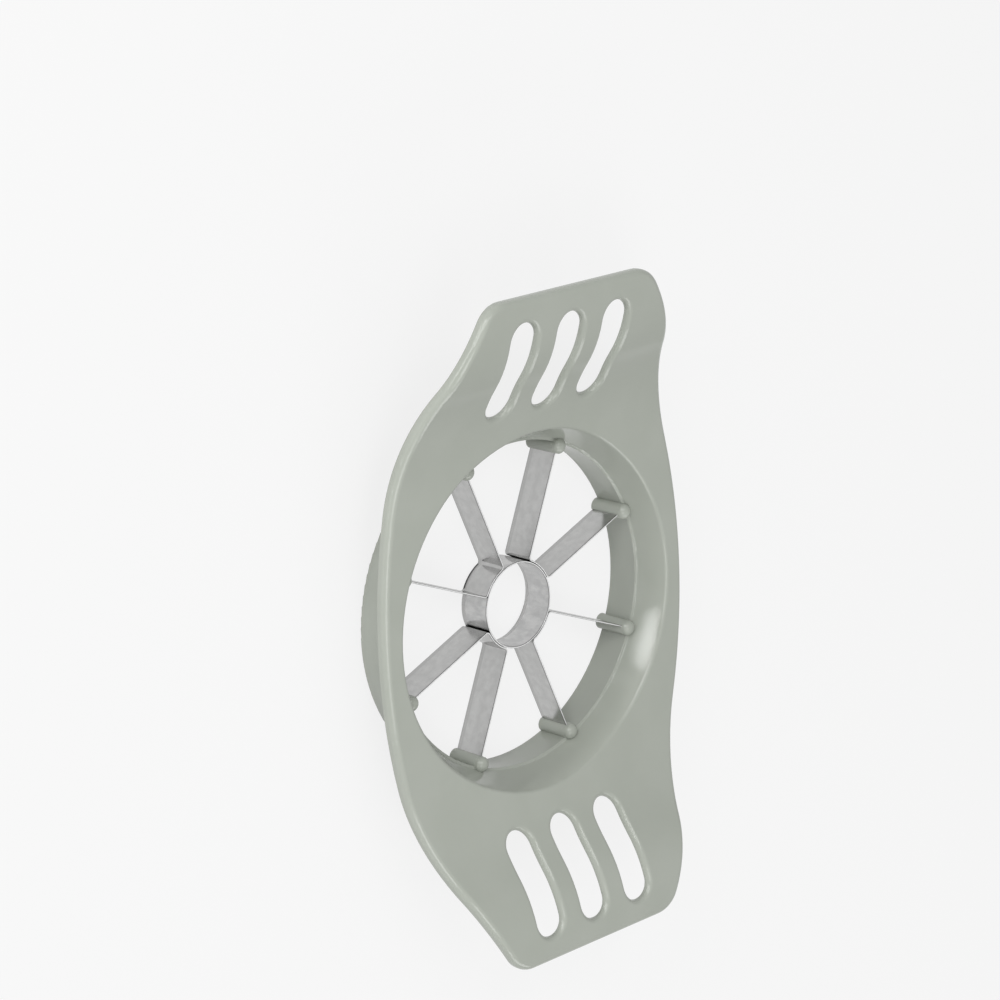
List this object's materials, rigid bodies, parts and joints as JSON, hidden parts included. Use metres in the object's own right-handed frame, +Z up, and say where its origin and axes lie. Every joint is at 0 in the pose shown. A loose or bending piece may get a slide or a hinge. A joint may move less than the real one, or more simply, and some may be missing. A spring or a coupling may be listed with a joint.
{
  "type": "apple slicer",
  "caption": "Hand press that cores and slices an apple: steel blades and a core ring in a moulded oval frame with two raised, slotted wing handles.",
  "frame": {"origin": "on the ring's axis, in the plane of the lower rim that the slicer lies on", "axes": "+Z up along the ring's axis, from the cutting side to the mouth; +X along the wings; +Y across them"},
  "size_m": [0.1898, 0.1154, 0.0374],
  "materials": {
    "frame_plastic": "smooth moulded plastic, sage grey, half gloss",
    "blade_steel": "satin stainless strip with bright sheared edges",
    "core_steel": "satin stainless strip, rolled into a ring"
  },
  "bodies": {
    "root": {"frame": "frame_plastic", "core_ring": "core_steel", "blade_strip_1": "blade_steel", "blade_strip_2": "blade_steel", "blade_strip_3": "blade_steel", "blade_strip_4": "blade_steel"}
  },
  "joints": []
}
